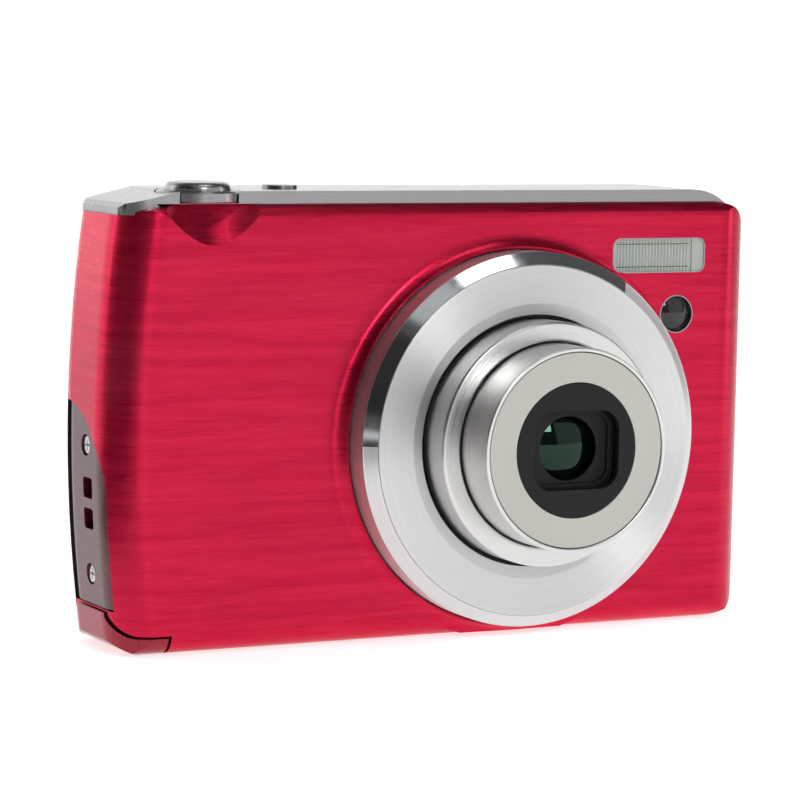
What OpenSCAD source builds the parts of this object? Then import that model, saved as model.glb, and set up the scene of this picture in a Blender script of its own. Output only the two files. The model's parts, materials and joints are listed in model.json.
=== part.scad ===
// Compact digital camera with a two-stage telescoping zoom lens, drawn with the lens extended.
// Frame: the origin is the mouth of the tripod socket in the bottom face, halfway along the
// body's width and depth. +X is to the right seen from the front, -Y points out through the
// lens, +Z is up. Millimetres.

/* [Body] */
// Width of the body over its two ends
body_w = 96; // [95.5:0.5:98]
// Depth of the body without the lens
body_d = 19; // [19:0.1:19.4]
// Height of the coloured skin at its top seam
skin_h = 57.8; // [57.4:0.1:58.4]
// Height of the bright top plate above the skin
plate_rise = 1.6; // [1.4:0.1:1.8]
// Thickness of the outer walls
wall = 1; // [0.8:0.1:1.1]
// Corner radius of the right end, seen from the front
end_r = 6.5; // [6:0.25:7.5]
// Radius of the front vertical edges, seen from above
plan_r = 6; // [5:0.25:6.5]
// Radius of the lower long edges
foot_r = 3; // [2.5:0.25:3.5]

/* [Lens] */
// Lens axis, to the right of the middle
lens_x = 10.3; // [9.8:0.1:10.8]
// Lens axis above the bottom face
lens_z = 26.6; // [26.2:0.1:27.4]
// Outer radius of the bright ring round the lens
ring_r = 25; // [24.6:0.1:25.2]
// How far the ring stands in front of the body
ring_h = 6; // [5.8:0.1:6.2]
// Outer radius of the outer barrel
outer_r = 16.2; // [16.1:0.05:16.3]
// Reach of the outer barrel in front of the body
outer_reach = 10.2; // [10:0.1:10.4]
// Outer radius of the inner barrel
inner_r = 13.4; // [13.3:0.05:13.5]
// Reach of the inner barrel in front of the body
inner_reach = 16.7; // [16.5:0.1:17]
// Radius of the black mask round the front lens
mask_r = 8.85; // [8.6:0.05:9]

/* [Controls] */
// Shutter button, left of the middle
shutter_x = -34; // [-34.4:0.1:-33.6]
// Shutter button, in front of the middle
shutter_y = -4; // [-4.2:0.1:-3.8]
// Radius of the shutter button
shutter_r = 4.3; // [4.1:0.05:4.35]
// Outer radius of the zoom ring round the shutter button
zoom_ring_r = 5.4; // [5.3:0.05:5.5]
// Height of the shutter button above the top plate
shutter_rise = 1.1; // [1:0.1:1.3]

/* [Hidden] */

// Round faces are cut finely, small ones a little less so
fn_big = 128;
fn_bow = 720;
fn_small = 48;
// Cutting tools run this far past the faces they open
past = 1;

// Planes of the body
half_w = body_w / 2;
// The left end bows outwards on a large arc, and its edges follow the bow
bow_r = 200;
bow_z = 29;
bow_back_r = 5.5;
function end_bow(z) = (z - bow_z) * (z - bow_z) / (2 * bow_r);
front_y = -body_d / 2;
back_y = body_d / 2;
split_y = 6.5;
inner_front_y = front_y + wall;
inner_back_y = back_y - wall;

// Top plate: its front and back bands stand back from the body's faces, and its left end falls
plate_top = skin_h + plate_rise;
plate_front_y = front_y + 1.7;
plate_back_y = back_y - 1.7;
plate_low_z = 56.3;
plate_left_x = -half_w + 2.4;
plate_wall = 1.1;
slope_x = -38;
slope_end_z = plate_top - 1.6;
seam_end_z = skin_h - 1.6;
top_roll_r = 2;

// Scoop in the skin under the zoom ring: an upright cone that opens upwards
scoop_axis_y = front_y - 7.5;
scoop_low_z = skin_h - 5.2;
scoop_low_r = 7.5;
scoop_top_r = 10.7;

// Battery door, its lip up the left end and the gap round it
door_gap = 0.3;
door_t = 1.2;
door_lip_z = 5.3;
door_lip_x = -46.5;
door_step_z = 2.3;
door_step_x = -43.5;
door_slit_x = -39.6;
door_right_x = -12.9;
door_panel_y0 = -7;
door_panel_y1 = 6.1;
door_pin_z = 0.95;
door_pin_r = 0.4;
door_knuckle_r = 0.85;
pin_play = 0.05;

// Side panel of the left end
side_low_z = 5.6;
side_arc_z = 20;
side_arc_r = 12;
side_arc_y = 5.7;
side_play = 0.12;
side_sink = 0.5;
side_t = 1;
strap_hole_y = -0.5;
strap_hole_w = 3;
strap_hole_h = 2.7;
strap_z = 19;
strap_pitch = 4;

// Screws that hold the case: [side of the body, height]
screw_head_r = 1.1;
screw_hole_r = 1.4;
screw_shank_r = 0.6;
screw_l = 4;
side_screw_l = 2.6;
left_screws_z = [9.7, 26.5];
side_screw_drop = 0.25;
right_screws_z = [12, 44];
foot_screws_x = [-8.5, 27];
foot_screws_y = -3.5;
screw_sink = 0.6;

// Tripod socket, a 1/4 inch thread
tripod_r = 3.175;
tripod_l = 5;
tripod_boss_r = 4.8;

// Battery and memory card in their bay
battery_size = [31.5, 6, 40];
battery_x0 = -43.5;
battery_z0 = 3;
card_size = [24, 2.1, 32];
card_x0 = -40;
card_z0 = 3;
card_cut = 4;
card_top = card_z0 + card_size[2];
card_y0 = -6.6;
capacitor_x = 38.5;
capacitor_y = -3.6;
capacitor_z = [17, 39.5];
capacitor_r = 4.2;
focus_motor_rise = 10.7;
focus_motor_r = 1.6;
chassis_half_w = 44.3;
chassis_low_z = 3.2;
chassis_high_z = 55.5;
bay_front_y = -4.2;
chassis_y0 = 3.9;
chassis_y1 = 4.6;

// Lens: planes along its axis, measured as Y
ring_face_y = front_y - ring_h;
ring_shoulder_y = ring_face_y + 1.4;
ring_bevel_r = ring_r - 1.6;
ring_face_inner_r = 18.3;
ring_throat_r = 16.75;
ring_base_wall = 1.1;
flare_r = 2;
outer_front_y = front_y - outer_reach;
outer_l = 14.5;
outer_bore_r = 15.2;
inner_front_y2 = front_y - inner_reach;
inner_l = 11.5;
rim_r = inner_r - 0.55;
plate_disc_t = 0.65;
base_y0 = 1.5;
base_y1 = 3;
barrel_in_r = 19.2;
barrel_out_r = 20.4;

// Opening of the mask and the barrier blades behind it
mask_w = 12.6;
mask_h = 10.2;
mask_corner_r = 2.6;
blade_y0 = inner_front_y2 + 1.25;
blade_t = 0.3;
blade_open = 5.42;
blade_half_w = 7.2;
blade_back_r = 12.5;
cell_y0 = inner_front_y2 + 1.75;

// Zoom drive: a toothed ring, an idler and the motor's pinion, in one line from the lens axis
gear_module = 0.4;
ring_teeth = 92;
idler_teeth = 20;
pinion_teeth = 10;
drive_angle = -35;
gear_y0 = -1.3;
gear_y1 = 0.9;
drive_ring_in_r = 17;
drive_ring_body_r = 18.5;
ring_pitch_r = gear_module * ring_teeth / 2;
idler_pitch_r = gear_module * idler_teeth / 2;
pinion_pitch_r = gear_module * pinion_teeth / 2;
idler_reach = ring_pitch_r + idler_pitch_r;
motor_reach = idler_reach + idler_pitch_r + pinion_pitch_r;
axle_r = 0.6;
motor_r = 4;
motor_y0 = -8.2;
motor_y1 = -1.9;
// The ring has teeth over this angle only, led by this many teeth from the drive's line
toothed_span = 180;
toothed_lead = 6;

// Focus group behind the shutter
rod_r = 0.5;
rod_reach = 7;
carriage_r = 8.5;
carriage_y0 = -3.2;
carriage_y1 = -1.4;

// Flash window and focus lamp on the front
flash_x = [25, 39.4];
flash_z = [48.3, 52.8];
af_x = 35.2;
af_z = 42.5;
af_r = 2.5;

// Shutter and power buttons
power_x = -21;
power_y = -1;
power_r = 2.3;
power_rise = 0.5;
stem_r = 1;
board_z = 55;
seat_z = skin_h + 0.05;

// Data socket in the right end
usb_x0 = 43;
usb_z = 30;

// Display and keys on the back
lcd_x = [-16, 44.5];
lcd_z = [7.5, 53.5];
lcd_frame = 3;
nav_x = -31.5;
nav_z = 30;
nav_r = 9.4;
nav_bore_r = 4.5;
ok_r = 4;
key_w = 7;
key_h = 3.6;
key_dx = 7;
key_dz = 15.5;
key_proud = 0.2;
keypad_y0 = 5.9;
keypad_y1 = 6.5;

// ---- Drawing helpers ----

// Flat shape in X and Z, from y0 to y1
module along_y(y0, y1) {
    translate([0, y1, 0]) rotate([90, 0, 0]) linear_extrude(y1 - y0) children();
}

// Flat shape in Y and Z, from x0 to x1
module along_x(x0, x1) {
    translate([x0, 0, 0]) rotate([90, 0, 90]) linear_extrude(x1 - x0) children();
}

// Solid block between two corners
module block(low, high) {
    translate(low) cube(high - low);
}

// Upright cylinder from z0 to z1
module post(x, y, z0, z1, r, fn = fn_small) {
    translate([x, y, z0]) cylinder(r = r, h = z1 - z0, $fn = fn);
}

// Cylinder along Y from y0 to y1, at x and z
module rod_y(x, z, y0, y1, r, fn = fn_small) {
    translate([x, y1, z]) rotate([90, 0, 0]) cylinder(r = r, h = y1 - y0, $fn = fn);
}

// Cylinder along X from x0 to x1, at y and z
module rod_x(y, z, x0, x1, r, fn = fn_small) {
    translate([x0, y, z]) rotate([0, 90, 0]) cylinder(r = r, h = x1 - x0, $fn = fn);
}

// Round part on the lens axis, from an outline of [radius, Y]
module turned(outline) {
    translate([lens_x, 0, lens_z]) rotate([-90, 0, 0]) rotate_extrude($fn = fn_big) polygon(outline);
}

// Plain round part on the lens axis
module lens_tube(r_in, r_out, y0, y1) {
    turned([[r_in, y0], [r_out, y0], [r_out, y1], [r_in, y1]]);
}

// Full disc on the lens axis
module lens_disc(r, y0, y1) {
    rod_y(lens_x, lens_z, y0, y1, r, fn_big);
}

// What lies outside a round corner; sx and sy say which corner it is
module corner_waste(x, y, sx, sy, r) {
    translate([x, y]) mirror([sx < 0 ? 1 : 0, 0]) mirror([0, sy < 0 ? 1 : 0]) difference() {
        translate([-past, -past]) square(r + past);
        translate([r, r]) circle(r, $fn = fn_small);
    }
}

// Rectangle with a radius for each corner: lower left, lower right, upper right, upper left
module rounded(x0, y0, x1, y1, radii) {
    difference() {
        translate([x0, y0]) square([x1 - x0, y1 - y0]);
        corner_waste(x0, y0, 1, 1, radii[0]);
        corner_waste(x1, y0, -1, 1, radii[1]);
        corner_waste(x1, y1, -1, -1, radii[2]);
        corner_waste(x0, y1, 1, -1, radii[3]);
    }
}

// Round rectangle about a centre
module slot_2d(cx, cy, w, h, r) {
    rounded(cx - w / 2, cy - h / 2, cx + w / 2, cy + h / 2, [r, r, r, r]);
}

// Body outline seen from the front, shrunk by inset; its top falls away at the left
module front_outline(inset) {
    difference() {
        rounded(-half_w + inset, inset, half_w - inset, skin_h - inset,
            [plan_r - inset, end_r - inset, end_r - inset, 1.6 - inset * 0.6]);
        polygon([
            [slope_x, skin_h - inset], [-half_w - past, seam_end_z - inset - 0.16],
            [-half_w - past, skin_h + past], [slope_x, skin_h + past]
        ]);
    }
}

// The whole body as a solid, shrunk by inset all round
module body_solid(inset) {
    intersection() {
        along_y(front_y - past, back_y + past) front_outline(inset);
        translate([0, 0, -past]) linear_extrude(skin_h + 2 * past)
            rounded(-half_w - past, front_y + inset, half_w - inset, back_y - inset,
                [0, plan_r - inset, 4.5 - inset, 0]);
        translate([-half_w + bow_r, 0, bow_z]) rotate([-90, 0, 0]) rotate_extrude($fn = fn_bow)
            rounded(bow_r - 2 * half_w - 2, front_y + inset, bow_r - inset, back_y - inset,
                [0, plan_r - inset, bow_back_r - inset, 0]);
        along_x(-half_w - past, half_w + past)
            rounded(front_y + inset, inset, back_y - inset, skin_h - inset,
                [foot_r - inset, foot_r - inset, top_roll_r - inset * 0.6, top_roll_r - inset * 0.6]);
    }
}

// Cone that scoops the skin out under the zoom ring, grown by offset
module scoop(offset) {
    taper = (scoop_top_r - scoop_low_r) / (skin_h - scoop_low_z);
    drop = 2;
    translate([shutter_x, scoop_axis_y, scoop_low_z - drop])
        cylinder(r1 = scoop_low_r - taper * drop + offset, r2 = scoop_top_r + offset,
            h = skin_h - scoop_low_z + drop, $fn = fn_big);
}

// Space of the battery door in the skin, seen from the front, grown by gap
module door_lip_outline(gap) {
    difference() {
        union() {
            translate([-half_w - past, -past]) square([door_slit_x + half_w + past + gap * 1.5,
                door_step_z + past + gap]);
            translate([-half_w - past, -past]) square([door_step_x + half_w + past + gap,
                door_lip_z + past + gap]);
        }
        translate([door_step_x + gap, door_lip_z + gap])
            circle(door_step_x - door_lip_x, $fn = fn_small);
    }
}

// Space of the battery door, grown by gap
module door_space(gap) {
    along_y(front_y - past, door_panel_y1 + gap) door_lip_outline(gap);
    block([door_slit_x - past, door_panel_y0 - gap, -past],
        [door_right_x + (gap > 0 ? door_knuckle_r + gap : 0), door_panel_y1 + gap, door_t + gap]);
}

// Outline of the side panel, seen from the left end, shrunk by inset
module side_outline(inset) {
    intersection() {
        translate([side_arc_y - side_arc_r + inset, side_low_z + inset])
            square([split_y - side_arc_y + side_arc_r - 2 * inset, side_arc_z + side_arc_r]);
        union() {
            translate([-half_w, 0]) square([2 * half_w, side_arc_z]);
            translate([side_arc_y, side_arc_z]) circle(side_arc_r - inset, $fn = fn_big);
        }
    }
}

// A gear along Y with short teeth, in the plane of its own centre
module gear_2d(teeth, phase, span = 360) {
    pitch_r = gear_module * teeth / 2;
    step = 360 / teeth;
    root_r = pitch_r - gear_module * 1.15;
    tip_r = pitch_r + gear_module * 0.75;
    circle(root_r, $fn = fn_big);
    for (i = [0 : teeth - 1])
        if (abs((i * step + 180) % 360 - 180) <= span / 2)
            rotate(phase + i * step)
                polygon([
                    [root_r - 0.2, -root_r * sin(step * 0.28)], [tip_r, -tip_r * sin(step * 0.1)],
                    [tip_r, tip_r * sin(step * 0.1)], [root_r - 0.2, root_r * sin(step * 0.28)]
                ]);
}

// Puts a part at a distance from the lens axis along the drive's line
module on_drive_line(reach) {
    translate([lens_x + reach * cos(drive_angle), 0, lens_z + reach * sin(drive_angle)]) children();
}

// ---- Case ----

module front_skin() color([0.78, 0.08, 0.22]) {
    difference() {
        union() {
            difference() {
                body_solid(0);
                body_solid(wall);
                block([-half_w - past, plate_front_y, plate_low_z], [half_w + past, back_y + past, skin_h + past]);
            }
            intersection() {
                body_solid(0);
                scoop(wall);
                block([-half_w, front_y - past, scoop_low_z - 4], [half_w, 0, skin_h + past]);
            }
            // Flare of the skin round the lens ring
            intersection() {
                translate([lens_x, 0, lens_z]) rotate([-90, 0, 0]) rotate_extrude($fn = fn_big)
                    difference() {
                        translate([ring_r + 0.3, front_y - 1.1]) square([flare_r, 1.6]);
                        translate([ring_r + 0.3 + flare_r, front_y - flare_r]) circle(flare_r, $fn = fn_small);
                    }
                block([-half_w, front_y - flare_r, 0.4], [half_w, 0, skin_h]);
            }
        }
        scoop(0);
        block([-half_w - past, split_y, -past], [half_w + past, back_y + past, skin_h + past]);
        lens_disc(ring_r + 0.1, front_y - 3, inner_front_y + past);
        along_y(front_y - past, inner_front_y + past)
            rounded(flash_x[0], flash_z[0], flash_x[1], flash_z[1], [1, 1, 1, 1]);
        rod_y(af_x, af_z, front_y - past, inner_front_y + past, af_r);
        along_x(-half_w - past, -half_w + 5) side_outline(0);
        door_space(door_gap);
        post(0, 0, -past, wall + past, tripod_boss_r);
        for (x = foot_screws_x) {
            post(x, foot_screws_y, -past, wall + past, screw_shank_r);
            post(x, foot_screws_y, -past, screw_sink, screw_hole_r);
        }
        for (z = right_screws_z) {
            rod_x(0, z, half_w - wall - past, half_w + past, screw_shank_r);
            rod_x(0, z, half_w - screw_sink, half_w + past, screw_hole_r);
        }
        // Slot for the data socket
        along_x(half_w - wall - past, half_w + past) slot_2d(0, usb_z, 3, 8, 0.8);
    }
}

module back_cover() color([0.13, 0.13, 0.14]) difference() {
    body_solid(0);
    body_solid(wall);
    block([-half_w - past, front_y - past, -past], [half_w + past, split_y, skin_h + past]);
    block([-half_w - past, front_y - past, plate_low_z], [half_w + past, plate_back_y, skin_h + past]);
    along_y(inner_back_y - past, back_y + past)
        rounded(lcd_x[0], lcd_z[0], lcd_x[1], lcd_z[1], [1.5, 1.5, 1.5, 1.5]);
    rod_y(nav_x, nav_z, inner_back_y - past, back_y + past, nav_r + 0.3, fn_big);
    for (sx = [-1, 1])
        for (sz = [-1, 1])
            along_y(inner_back_y - past, back_y + past)
                slot_2d(nav_x + sx * key_dx, nav_z + sz * key_dz, key_w + 0.3, key_h + 0.3, key_h / 2);
}

// Top plate seen from the front, shrunk by inset
module plate_outline(inset) {
    end_bow_r = 8;
    end_x = half_w - 1.5;
    left_z = slope_end_z + 0.02;
    difference() {
        polygon([
            [plate_left_x + inset, plate_low_z], [plate_left_x + inset, left_z - 0.6 - inset],
            [plate_left_x + 0.7 + inset, left_z - inset], [slope_x, plate_top - inset],
            [end_x - inset, plate_top - inset], [end_x - inset, plate_low_z]
        ]);
        corner_waste(end_x - inset, plate_top - inset, -1, -1, end_bow_r - inset);
    }
}

module top_plate() color([0.8, 0.8, 0.81]) difference() {
    intersection() {
        along_y(plate_front_y, plate_back_y) plate_outline(0);
        translate([0, 0, plate_low_z - past]) linear_extrude(6)
            rounded(plate_left_x - 0.7, plate_front_y, half_w, plate_back_y, [5, 5, 3.5, 3.5]);
    }
    difference() {
        along_y(plate_front_y + plate_wall, plate_back_y - plate_wall) plate_outline(plate_wall);
        // Seat under the zoom ring
        post(shutter_x, shutter_y, plate_low_z - past, seat_z, zoom_ring_r + 1);
    }
    scoop(wall + 0.05);
    post(shutter_x, shutter_y, seat_z, plate_top + past, zoom_ring_r + 0.2, fn_big);
    post(shutter_x, shutter_y, plate_low_z - past, seat_z + past, stem_r + pin_play);
    post(power_x, power_y, plate_low_z, plate_top + past, power_r + 0.1);
}

module side_panel() color([0.42, 0.05, 0.14]) difference() {
    union() {
        intersection() {
            along_x(-half_w - past, -half_w + 6) side_outline(side_play);
            difference() {
                body_solid(side_sink);
                body_solid(side_sink + side_t);
            }
        }
        // Pocket behind the strap holes
        block([-half_w + side_sink + side_t - 0.1, strap_hole_y - 2.3, strap_z - 4.1],
            [battery_x0 - 0.5, strap_hole_y + 2.3, strap_z + 4.1]);
    }
    block([-half_w + side_sink + side_t, strap_hole_y - 1.7, strap_z - 3.5],
        [battery_x0 - 1.1, strap_hole_y + 1.7, strap_z + 3.5]);
    for (side = [-1, 1])
        along_x(-half_w - past, -half_w + 3)
            slot_2d(strap_hole_y, strap_z + side * strap_pitch / 2, strap_hole_w, strap_hole_h, 0.45);
    for (z = left_screws_z) {
        rod_x(0, z, -half_w - past, -half_w + 3, screw_shank_r);
        rod_x(0, z, -half_w - past, -half_w + side_sink + end_bow(z) + side_screw_drop + 0.55, screw_hole_r);
    }
}

module strap_bar() color([0.75, 0.75, 0.76])
    translate([-half_w + side_sink + side_t + 0.6, strap_hole_y + 1.7, strap_z])
        rotate([90, 0, 0]) cylinder(r = 0.6, h = 3.4, $fn = fn_small);

// Pan-head screw pointing up from the origin, with a cross in its head
module screw(length = screw_l) {
    difference() {
        union() {
            cylinder(r = screw_head_r, h = 0.55, $fn = fn_small);
            cylinder(r = screw_shank_r, h = length, $fn = fn_small);
        }
        for (turn = [0, 90])
            rotate(turn) translate([-0.75, -0.14, -past]) cube([1.5, 0.28, past + 0.35]);
    }
}

module case_screws() color([0.6, 0.6, 0.62]) {
    for (z = left_screws_z)
        translate([-half_w + side_sink + end_bow(z) + side_screw_drop, 0, z]) rotate([0, 90, 0])
            screw(side_screw_l);
    for (z = right_screws_z)
        translate([half_w - 0.05, 0, z]) rotate([0, -90, 0]) screw();
    for (x = foot_screws_x)
        translate([x, foot_screws_y, 0.05]) screw();
}

module chassis() color([0.55, 0.56, 0.58]) difference() {
    bay_right_x = battery_x0 + battery_size[0];
    bay_top_z = battery_z0 + battery_size[2];
    union() {
        block([-chassis_half_w, chassis_y0, chassis_low_z], [chassis_half_w, chassis_y1, chassis_high_z]);
        block([bay_right_x + 0.2, bay_front_y, chassis_low_z], [bay_right_x + 1, chassis_y0, bay_top_z + 3.8]);
        block([-chassis_half_w, bay_front_y, bay_top_z + 3], [bay_right_x + 1, chassis_y0, bay_top_z + 3.8]);
        // Foot that carries the tripod socket
        block([-7, -2.5, tripod_l + 0.8], [7, chassis_y0, tripod_l + 1.6]);
        block([18, -2, wall + 0.1], [24, chassis_y0, 4.5]);
    }
    along_y(chassis_y0 - past, chassis_y1 + past)
        translate([lens_x - 11, lens_z - 8]) square([22, 16]);
    lens_disc(barrel_out_r + 0.1, -30, base_y1);
    post(0, 0, -past, tripod_l + 0.8, tripod_boss_r);
}

module tripod_socket() color([0.72, 0.72, 0.7]) difference() {
    post(0, 0, 0, tripod_l + 0.8, tripod_boss_r, fn_big);
    post(0, 0, -past, tripod_l, tripod_r, fn_big);
}

// ---- Battery, card and their door ----

module battery_door() color([0.7, 0.06, 0.18]) difference() {
    union() {
        intersection() {
            difference() {
                body_solid(0);
                body_solid(door_t);
            }
            door_space(0);
        }
        for (y = [-5, 2])
            rod_y(door_right_x, door_pin_z, y, y + 2.5, door_knuckle_r);
    }
    rod_y(door_right_x, door_pin_z, -6, 6, door_pin_r + pin_play);
    block([door_right_x - 1.4, -2.4, -past], [door_right_x + 2, 1.9, 3]);
    for (y = [[-8, -5], [4.5, 8]])
        block([door_right_x - 0.6, y[0], -past], [door_right_x + 2, y[1], 3]);
}

module door_hinge_bracket() color([0.6, 0.6, 0.62]) difference() {
    union() {
        rod_y(door_right_x, door_pin_z, -2.3, 1.8, door_knuckle_r);
        block([door_right_x, -2.3, door_pin_z], [door_right_x + door_knuckle_r, 1.8, 2.9]);
        block([door_right_x, -2.3, 2.1], [door_right_x + 3.4, 1.8, 2.9]);
        block([door_right_x + 2.2, -2.3, wall], [door_right_x + 3.4, 1.8, 2.1]);
    }
    rod_y(door_right_x, door_pin_z, -6, 6, door_pin_r);
}

module door_hinge_pin() color([0.8, 0.8, 0.8])
    rod_y(door_right_x, door_pin_z, -5, 4.5, door_pin_r);

module battery() color([0.2, 0.25, 0.45]) {
    corner = [battery_x0, -battery_size[1] / 2, battery_z0];
    block(corner, corner + battery_size);
}

module battery_contacts() color([0.15, 0.15, 0.16]) {
    z = battery_z0 + battery_size[2];
    block([battery_x0 + 4, -2.4, z], [battery_x0 + 20, 2.4, z + 3]);
}

module memory_card() color([0.1, 0.15, 0.35])
    difference() {
        block([card_x0, card_y0, card_z0], [card_x0 + card_size[0], card_y0 + card_size[1], card_top]);
        // Cut corner that keys the card
        along_y(card_y0 - past, card_y0 + card_size[1] + past)
            polygon([
                [card_x0 - past, card_top - card_cut + 2 * past], [card_x0 + card_cut, card_top + past],
                [card_x0 - past, card_top + past]
            ]);
    }

// ---- Lens ring and lens ----

module lens_ring_base() color([0.82, 0.82, 0.83])
    turned([
        [barrel_out_r, inner_front_y], [ring_r, inner_front_y], [ring_r, ring_shoulder_y],
        [ring_bevel_r, ring_face_y], [ring_bevel_r - 0.05, ring_face_y],
        [ring_bevel_r - 0.05, ring_face_y + 0.8], [ring_throat_r + 1.2, ring_face_y + 0.8],
        [ring_throat_r + 1.2, ring_face_y + 1.2], [ring_r - 2.2, ring_face_y + 1.2],
        [ring_r - ring_base_wall, ring_shoulder_y + 0.6], [ring_r - ring_base_wall, front_y],
        [barrel_out_r, front_y]
    ]);

module lens_ring_face() color([0.86, 0.86, 0.86])
    turned([
        [ring_throat_r, ring_face_y + 0.55], [ring_face_inner_r, ring_face_y],
        [ring_bevel_r - 0.05, ring_face_y], [ring_bevel_r - 0.05, ring_face_y + 0.8],
        [ring_throat_r, ring_face_y + 0.8]
    ]);

module fixed_barrel() color([0.12, 0.12, 0.13]) difference() {
    lens_tube(barrel_in_r, barrel_out_r, ring_face_y + 1.3, base_y0);
    on_drive_line(idler_reach) rod_y(0, 0, gear_y0 - 0.4, base_y0 + past, idler_pitch_r + 0.7);
}

module barrel_seal() color([0.08, 0.08, 0.08])
    lens_tube(outer_r + 0.15, barrel_in_r - 0.1, ring_face_y + 1.25, ring_face_y + 1.65);

module drive_ring() color([0.25, 0.25, 0.27]) difference() {
    union() {
        lens_disc(drive_ring_body_r, ring_face_y + 2, gear_y0 - 0.3);
        lens_disc(drive_ring_body_r - 0.55, gear_y0 - 0.3, gear_y0);
        translate([lens_x, 0, lens_z]) along_y(gear_y0, gear_y1)
            gear_2d(ring_teeth, drive_angle + toothed_lead * 360 / ring_teeth, toothed_span);
    }
    lens_disc(drive_ring_in_r, ring_face_y, gear_y1 + past);
}

module zoom_gear() color([0.9, 0.9, 0.86]) on_drive_line(idler_reach) difference() {
    along_y(gear_y0, gear_y1) gear_2d(idler_teeth, drive_angle + 180 / idler_teeth);
    rod_y(0, 0, gear_y0 - past, gear_y1 + past, axle_r + pin_play);
}

module zoom_pinion() color([0.85, 0.75, 0.45]) on_drive_line(motor_reach) {
    along_y(gear_y0, gear_y1) gear_2d(pinion_teeth, drive_angle + 180);
    rod_y(0, 0, gear_y0 - 1.6, gear_y0, 0.5);
}

module zoom_motor() color([0.7, 0.7, 0.72]) on_drive_line(motor_reach) difference() {
    rod_y(0, 0, motor_y0, motor_y1, motor_r, fn_big);
    rod_y(0, 0, motor_y1 - 1.2, motor_y1 + past, 0.5 + pin_play);
}

module outer_barrel() color([0.8, 0.8, 0.81])
    turned([
        [inner_r + 0.2, outer_front_y], [outer_r - 0.5, outer_front_y], [outer_r, outer_front_y + 0.5],
        [outer_r, outer_front_y + outer_l], [outer_bore_r, outer_front_y + outer_l],
        [outer_bore_r, outer_front_y + 0.7], [inner_r + 0.2, outer_front_y + 0.7]
    ]);

module inner_barrel() color([0.84, 0.84, 0.84])
    turned([
        [rim_r, inner_front_y2], [inner_r - 0.25, inner_front_y2], [inner_r, inner_front_y2 + 0.25],
        [inner_r, inner_front_y2 + inner_l - 0.7], [outer_bore_r - 0.4, inner_front_y2 + inner_l - 0.7],
        [outer_bore_r - 0.4, inner_front_y2 + inner_l], [rim_r, inner_front_y2 + inner_l]
    ]);

module front_plate() color([0.8, 0.79, 0.77])
    lens_tube(mask_r + 0.02, rim_r - 0.02, inner_front_y2 + 0.05, inner_front_y2 + 0.05 + plate_disc_t);

module lens_mask() color([0.1, 0.1, 0.1]) difference() {
    union() {
        lens_disc(mask_r, inner_front_y2 + 0.1, inner_front_y2 + 1);
        lens_disc(rim_r - 0.02, inner_front_y2 + 0.05 + plate_disc_t, inner_front_y2 + 1.1);
    }
    along_y(inner_front_y2 - past, inner_front_y2 + 2)
        slot_2d(lens_x, lens_z, mask_w, mask_h, mask_corner_r);
}

// One half of the lens barrier, drawn open; side is 1 above the lens and -1 below it
module barrier_blade(side) {
    intersection() {
        lens_disc(blade_back_r, blade_y0, blade_y0 + blade_t);
        block([lens_x - blade_half_w, blade_y0 - past, lens_z + (side > 0 ? blade_open : -20)],
            [lens_x + blade_half_w, blade_y0 + past, lens_z + (side > 0 ? 20 : -blade_open)]);
    }
}

module barrier_blade_upper() color([0.14, 0.14, 0.14]) barrier_blade(1);

module barrier_blade_lower() color([0.14, 0.14, 0.14]) barrier_blade(-1);

module front_lens_cell() color([0.17, 0.17, 0.17]) difference() {
    lens_disc(rim_r - 0.02, cell_y0, cell_y0 + 6);
    along_y(cell_y0 - past, cell_y0 + 0.6) slot_2d(lens_x, lens_z, 11.2, 9, 2);
    lens_disc(4.2, cell_y0 - past, cell_y0 + 7);
    lens_disc(5.15, cell_y0 + 1.2, cell_y0 + 3.6);
    lens_disc(7.5, cell_y0 + 3.6, cell_y0 + 7);
}

module front_lens() color([0.3, 0.4, 0.38]) {
    vertex_y = cell_y0 + 0.75;
    curve_r = 10;
    intersection() {
        union() {
            lens_disc(5.1, cell_y0 + 1.2, cell_y0 + 3.6);
            lens_disc(4.15, vertex_y - past, cell_y0 + 1.2);
        }
        translate([lens_x, vertex_y + curve_r, lens_z]) sphere(curve_r, $fn = fn_big);
    }
}

module shutter_unit() color([0.2, 0.2, 0.22])
    lens_tube(2.6, rim_r - 0.02, cell_y0 + 6, cell_y0 + 7.8);

module focus_carriage() color([0.3, 0.3, 0.32]) difference() {
    lens_disc(carriage_r, carriage_y0, carriage_y1);
    lens_disc(4, carriage_y0 - past, carriage_y1 + past);
    for (side = [-1, 1])
        rod_y(lens_x + side * rod_reach, lens_z, carriage_y0 - past, carriage_y1 + past, rod_r + pin_play);
}

module focus_lens() color([0.7, 0.8, 0.85]) lens_disc(4, carriage_y0 + 0.2, carriage_y1 - 0.2);

module focus_rods() color([0.8, 0.8, 0.8])
    for (side = [-1, 1])
        rod_y(lens_x + side * rod_reach, lens_z, carriage_y0 - 1.9, base_y0, rod_r);

module focus_motor() color([0.6, 0.6, 0.62])
    rod_y(lens_x, lens_z + focus_motor_rise, carriage_y0 - 0.2, base_y0, focus_motor_r);

module lens_base_plate() color([0.3, 0.3, 0.32]) difference() {
    union() {
        lens_disc(barrel_out_r, base_y0, base_y1);
        on_drive_line(idler_reach) rod_y(0, 0, base_y0, base_y1, 3);
        on_drive_line(motor_reach) rod_y(0, 0, base_y0, base_y1, motor_r);
        on_drive_line(idler_reach) rod_y(0, 0, gear_y0 - 0.4, base_y0 + past, axle_r);
        // Posts that carry the motor beside its pinion
        on_drive_line(motor_reach) rotate([0, -drive_angle, 0])
            for (side = [-1, 1])
                rod_y(0, side * 3.1, motor_y1, base_y0 + past, 0.6);
    }
    block([lens_x - 6, base_y0 - past, lens_z - 5], [lens_x + 6, base_y1 + past, lens_z + 5]);
}

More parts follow.
